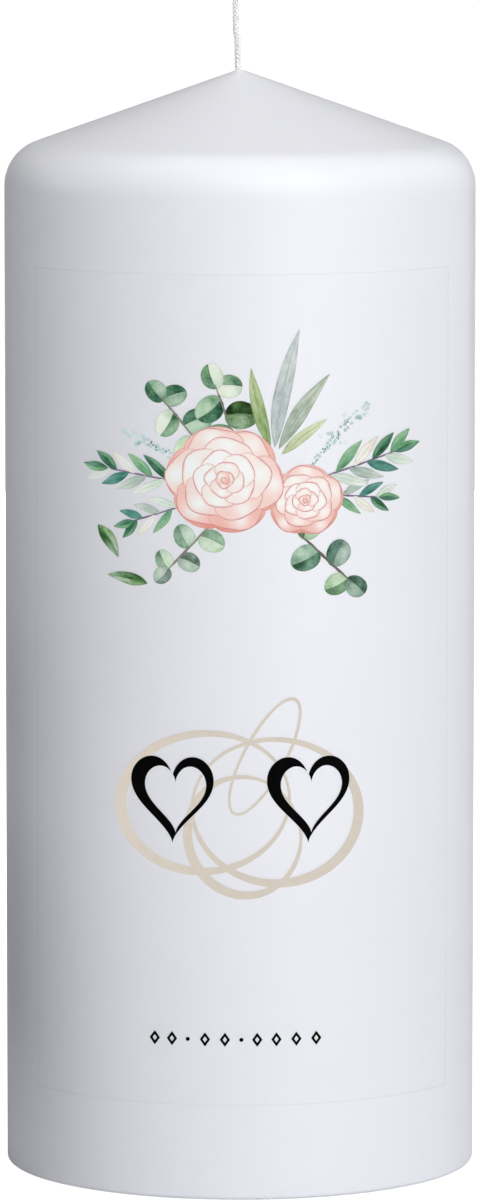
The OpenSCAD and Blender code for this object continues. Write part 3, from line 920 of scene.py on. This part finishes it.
BLACK = "#060606"
pens = [((-5.4, 58.6), 12.8, 10.6, 8, 1.65, 0.4, 190), ((5.4, 57.2), 12.6, 11, -8, 1.5, 0.4, 330),
        ((0.4, 53.6), 8.6, 9.2, 20, 1.4, 0.36, 215), ((3.6, 65.4), 9.6, 3.2, 62, 0.5, 0.36, 60)]
for c, rx, ry, turn, thick, thin, heavy in pens:
    m, off, a = (thick + thin) / 2, (thick - thin) / 2, math.radians(heavy + 180)
    o = ellipse(c, rx, ry, turn)
    i = ellipse((c[0] + off * math.cos(a), c[1] + off * math.sin(a)), rx - m, ry - m, turn)
    fill(RINGS, o, "#d6ccbf", mot=0.12, is_curve=True, hole=i)
for name, x in ((HEART_L, -9.8), (HEART_R, 9.9)):
    o, i = heart((x, 58.9), 12, 12.8), heart((x + 0.45, 58.95), 12 - 3.1, 12.8 - 2.9)
    fill(name, o, BLACK, mot=0.12, is_curve=True, comp=0, hole=i)
for x in (-12.4, -9.9, -5.1, -2.2, 2.5, 5.3, 8.2, 11.1):
    w, h, l = 1.5, 2.1, 0.42
    o = np.array([(x + w / 2, 23.8), (x, 23.8 + h / 2), (x - w / 2, 23.8), (x, 23.8 - h / 2)])
    wi, hi_ = w / 2 - l, h / 2 - l * h / w
    i = np.array([(x + wi, 23.8), (x, 23.8 + hi_), (x - wi, 23.8), (x, 23.8 - hi_)])
    fill(ROW, o, BLACK, mot=0.12, is_curve=True, comp=0, hole=i)
for x in (-7.6, 0.2):
    fill(ROW, oval_pts((x, 23.8), .3, .3, 0, 20), BLACK, mot=0.12, is_curve=True, comp=0)

made = build_prints()
inks = {"blush": ink_material("ink_blush", 0.5, 0.5), "leaf": ink_material("ink_leaf", 1.0, 0.5), "beige": ink_material("ink_beige", 0.8, 0.5), "black": ink_material("ink_black", 0.6, 0.7, 0.02)}
for name, ob in made.items():
    cad = name[len("over_"):]
    kind = "blush" if "rose" in cad else "black" if cad in ("print_flourish", "print_heart_left", "print_heart_right", "print_ornament_row") else "leaf"
    kind = INK_OF.get(cad, kind)
    ob.data.materials.append(inks[kind])
    ob.visible_shadow = False
    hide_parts(cad)
    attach(ob, "root")

# ------------------------------------------------------------------ clear film that carries the print
def film_shell():
    xl, xh, z0, z1 = film_lo[0] / MM, film_hi[0] / MM, film_lo[2] / MM, film_hi[2] / MM
    a0, a1 = math.radians(-90 + 1 - 59.5), math.radians(-90 + 1 + 59.5)
    na, nz = 150, 90
    verts, faces = [], []
    for r in (BODY_R + 0.004, FILM_R):
        for i in range(na + 1):
            a = a0 + (a1 - a0) * i / na
            for j in range(nz + 1):
                verts.append((r * math.cos(a) * MM, r * math.sin(a) * MM, (z0 + (z1 - z0) * j / nz) * MM))
    m = nz + 1
    o = (na + 1) * m
    for i in range(na):
        for j in range(nz):
            q = (i * m + j, (i + 1) * m + j, (i + 1) * m + j + 1, i * m + j + 1)
            faces.append(tuple(k + o for k in q))
            faces.append(q[::-1])
    for i in range(na):
        for j, s in ((0, 1), (nz, -1)):
            q = (i * m + j, (i + 1) * m + j, (i + 1) * m + j + o, i * m + j + o)
            faces.append(q if s > 0 else q[::-1])
    for j in range(nz):
        for i, s in ((0, -1), (na, 1)):
            q = (i * m + j, i * m + j + 1, i * m + j + 1 + o, i * m + j + o)
            faces.append(q if s > 0 else q[::-1])
    ob = mesh_object("over_decal_film", verts, faces)
    # how near each corner is to the film's edge, in mm
    uv = ob.data.uv_layers.new(name="rim")
    for poly in ob.data.polygons:
        for li in poly.loop_indices:
            x, y, z = ob.data.vertices[ob.data.loops[li].vertex_index].co
            a = math.atan2(y, x)
            uv.data[li].uv = (min(a - a0, a1 - a) * BODY_R, min(z / MM - z0, z1 - z / MM))
    return ob


film = film_shell()
m, nt, out = new_material("clear_film")
bsdf = node(nt, "ShaderNodeBsdfPrincipled", Roughness=0.3)
bsdf.inputs["Base Color"].default_value = (0.8, 0.8, 0.78, 1)
rim = node(nt, "ShaderNodeUVMap", uv_map="rim")
sep = node(nt, "ShaderNodeSeparateXYZ")
nt.links.new(rim.outputs[0], sep.inputs[0])
near = node(nt, "ShaderNodeMath", operation="MINIMUM")
nt.links.new(sep.outputs["X"], near.inputs[0])
nt.links.new(sep.outputs["Y"], near.inputs[1])
# near its edge the film is more opaque and greyer than the wax: the film's own edge, darkened further as a painted
# shadow line
edge = node(nt, "ShaderNodeMapRange", interpolation_type="SMOOTHSTEP")
edge.inputs["From Min"].default_value, edge.inputs["From Max"].default_value = 0.05, 0.3
edge.inputs["To Min"].default_value, edge.inputs["To Max"].default_value = FILM_EDGE, FILM_ALPHA
nt.links.new(near.outputs[0], edge.inputs["Value"])
haze = node(nt, "ShaderNodeTexNoise", Scale=160.0, Detail=2.0)
tex = node(nt, "ShaderNodeTexCoord")
nt.links.new(tex.outputs["Object"], haze.inputs["Vector"])
vary = node(nt, "ShaderNodeMath", operation="MULTIPLY")
nt.links.new(edge.outputs[0], vary.inputs[0])
hz = node(nt, "ShaderNodeMapRange")
hz.inputs["To Min"].default_value, hz.inputs["To Max"].default_value = 0.7, 1.3
nt.links.new(haze.outputs["Fac"], hz.inputs["Value"])
nt.links.new(hz.outputs[0], vary.inputs[1])
clear = node(nt, "ShaderNodeBsdfTransparent")
mx = node(nt, "ShaderNodeMixShader")
nt.links.new(vary.outputs[0], mx.inputs[0])
nt.links.new(clear.outputs[0], mx.inputs[1])
nt.links.new(bsdf.outputs[0], mx.inputs[2])
nt.links.new(mx.outputs[0], out.inputs[0])
film.data.materials.append(m)
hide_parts("decal_film")
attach(film, "root")

# ------------------------------------------------------------------ wick: a cotton braid, waxed, kinked at its tip
def tube(path, radius, sides, flat=1.0):
    """A closed tube along the path, as (vertices, faces)."""
    P = np.array(path, float)
    T = np.gradient(P, axis=0)
    T /= np.linalg.norm(T, axis=1)[:, None]
    verts, faces = [], []
    up = np.array([0.0, 1.0, 0.0])
    n = len(P)
    for k in range(n):
        u = up - T[k] * (up @ T[k])
        u /= np.linalg.norm(u)
        v = np.cross(T[k], u)
        r = radius[k] if hasattr(radius, "__len__") else radius
        for s in range(sides):
            a = 2 * math.pi * s / sides
            verts.append(P[k] + r * (math.cos(a) * v + flat * math.sin(a) * u))
    for k in range(n - 1):
        for s in range(sides):
            t = (s + 1) % sides
            faces.append((k * sides + t, k * sides + s, (k + 1) * sides + s, (k + 1) * sides + t))
    c0, c1 = len(verts), len(verts) + 1
    verts += [P[0], P[-1]]
    for s in range(sides):
        t = (s + 1) % sides
        faces.append((c0, s, t))
        faces.append((c1, (n - 1) * sides + t, (n - 1) * sides + s))
    return verts, faces


def wick_centre(z):
    """Where the middle of the wick is at height z."""
    x = np.interp(z, [0, TIP_TOP - 1.2, TIP_TOP + 0.5, TIP_TOP + 3.4, TIP_TOP + 4.6, TIP_TOP + 5.6, TIP_TOP + 9, WICK_TOP], [0, 0, -0.30, -0.34, -0.38, -0.56, -0.62, -0.60])
    return np.array([x, 0.0, z])


WICK_TOP = wick_hi[2] / MM
V_, F_ = [], []


def add(vf):
    o = len(V_)
    V_.extend(vf[0])
    F_.extend(tuple(i + o for i in f) for f in vf[1])


z_low = wick_lo[2] / MM
add(tube([(0, 0, z) for z in np.linspace(z_low, TIP_TOP - 2.0, 40)], 0.46, 16))
core_z = np.linspace(TIP_TOP - 2.4, WICK_TOP - 0.35, 60)
add(tube([wick_centre(z) for z in core_z], [0.31] * 56 + [0.29, 0.25, 0.2, 0.12], 14))
strands, pitch = 4, 2.5
for d in (1, -1):
    for s in range(strands):
        path, rad = [], []
        zz = np.linspace(TIP_TOP - 2.2, WICK_TOP - 0.14, 150)
        for z in zz:
            a = d * 2 * math.pi * z / pitch + 2 * math.pi * s / strands + (0.4 if d < 0 else 0)
            over = 0.035 * math.cos(strands * a * 0.5 + (0 if d > 0 else math.pi))
            k = 1 - 0.45 * max(0, (z - WICK_TOP + 1.0) / 1.0) ** 2
            c = wick_centre(z)
            path.append((c[0] + (0.315 + over) * k * math.cos(a), (0.315 + over) * k * math.sin(a), z))
            rad.append(0.145 * (0.6 + 0.4 * k) * (1 + 0.06 * math.sin(z * 9 + s)))
        add(tube(path, rad, 8))
for s in range(9):
    a, z1 = rng.uniform(0, 6.28), WICK_TOP - rng.uniform(0.02, 0.5)
    b = wick_centre(z1 - 0.8)
    path = [b + np.array([0.2 * math.cos(a) * t, 0.2 * math.sin(a) * t, 0.8 * t - 0.05]) + 0.05 * t * t * np.array([math.cos(a * 3), math.sin(a * 3), 0]) for t in np.linspace(0, 1, 8)]
    add(tube(path, [0.035] * 6 + [0.03, 0.015], 6))
wick = mesh_object("over_wick", [np.array(v) * MM for v in V_], F_)
m, nt, out = new_material("wick")
bsdf = node(nt, "ShaderNodeBsdfPrincipled", Roughness=0.72)
tex = node(nt, "ShaderNodeTexCoord")
fib = node(nt, "ShaderNodeTexNoise", Scale=2600.0, Detail=3.0, Roughness=0.6)
nt.links.new(tex.outputs["Object"], fib.inputs["Vector"])
mixc = node(nt, "ShaderNodeMix", data_type="RGBA")
mixc.inputs["A"].default_value = (*hexcol("#e2e3de"), 1)
mixc.inputs["B"].default_value = (*hexcol("#fbfbf8"), 1)
rg = node(nt, "ShaderNodeMapRange")
rg.inputs["From Min"].default_value, rg.inputs["From Max"].default_value = 0.3, 0.62
nt.links.new(fib.outputs["Fac"], rg.inputs["Value"])
nt.links.new(rg.outputs[0], mixc.inputs["Factor"])
nt.links.new(mixc.outputs["Result"], bsdf.inputs["Base Color"])
bump = node(nt, "ShaderNodeBump", Strength=0.4, Distance=0.00004)
nt.links.new(fib.outputs["Fac"], bump.inputs["Height"])
nt.links.new(bump.outputs[0], bsdf.inputs["Normal"])
nt.links.new(bsdf.outputs[0], out.inputs[0])
wick.data.materials.append(m)
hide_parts("wick")
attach(wick, "root")

# ------------------------------------------------------------------ sustainer: the CAD's own mesh, tinned steel
m, nt, out = new_material("sustainer")
bsdf = node(nt, "ShaderNodeBsdfPrincipled", Metallic=1.0, Roughness=0.34)
tex = node(nt, "ShaderNodeTexCoord")
sp = node(nt, "ShaderNodeTexNoise", Scale=900.0, Detail=3.0, Roughness=0.6)
nt.links.new(tex.outputs["Object"], sp.inputs["Vector"])
mixc = node(nt, "ShaderNodeMix", data_type="RGBA")
mixc.inputs["A"].default_value = (0.52, 0.53, 0.54, 1)
mixc.inputs["B"].default_value = (0.70, 0.71, 0.72, 1)
nt.links.new(sp.outputs["Fac"], mixc.inputs["Factor"])
nt.links.new(mixc.outputs["Result"], bsdf.inputs["Base Color"])
rr = node(nt, "ShaderNodeMapRange")
rr.inputs["To Min"].default_value, rr.inputs["To Max"].default_value = 0.26, 0.44
nt.links.new(sp.outputs["Fac"], rr.inputs["Value"])
nt.links.new(rr.outputs[0], bsdf.inputs["Roughness"])
nt.links.new(bsdf.outputs[0], out.inputs[0])
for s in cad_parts["wick_sustainer"].material_slots:
    s.material = m
